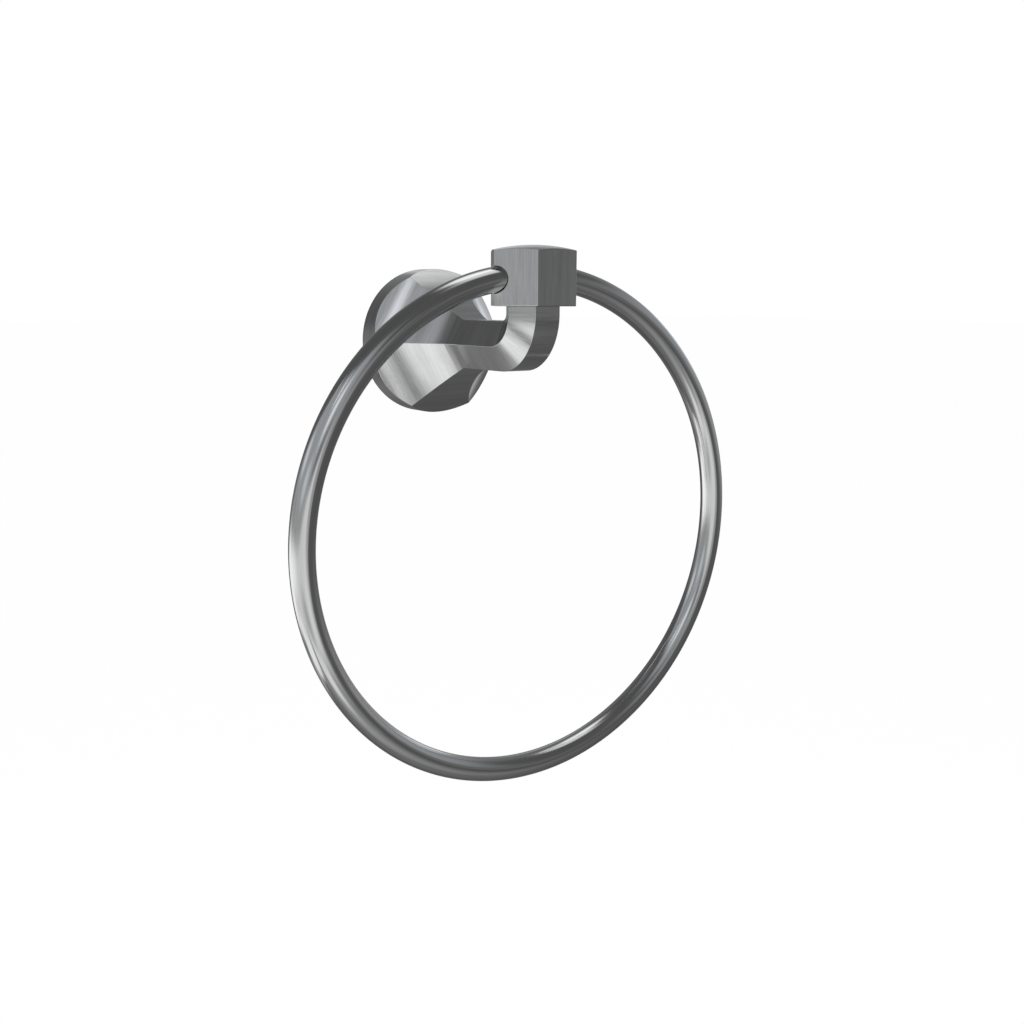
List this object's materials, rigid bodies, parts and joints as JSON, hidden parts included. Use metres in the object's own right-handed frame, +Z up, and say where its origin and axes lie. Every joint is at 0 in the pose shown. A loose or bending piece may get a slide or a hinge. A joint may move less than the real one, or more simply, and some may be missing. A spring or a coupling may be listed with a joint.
{
  "type": "towel ring",
  "caption": "Wall-mounted towel ring: faceted round rose, hexagonal arm turned up into a domed hexagonal head that holds a round ring flat to the wall.",
  "frame": {"origin": "centre of the wall bracket's back face, in the plane of the wall", "axes": "+Y into the wall, +Z up, the arm comes out along -Y and the ring hangs in a plane parallel to X and Z"},
  "size_m": [0.171, 0.0803, 0.1764],
  "materials": {
    "brushed_body": "brushed, satin",
    "brushed_head": "brushed lengthwise, satin",
    "ring_rod": "fine satin along the rod",
    "bracket_steel": "turned, plain",
    "dark_screw": "blackened"
  },
  "bodies": {
    "root": {"wall_bracket": "bracket_steel", "wall_post": "brushed_body", "ring_head": "brushed_head", "towel_ring": "ring_rod", "head_stud": "dark_screw", "rose_set_screw": "dark_screw", "ring_set_screw_left": "dark_screw", "ring_set_screw_right": "dark_screw"}
  },
  "joints": []
}
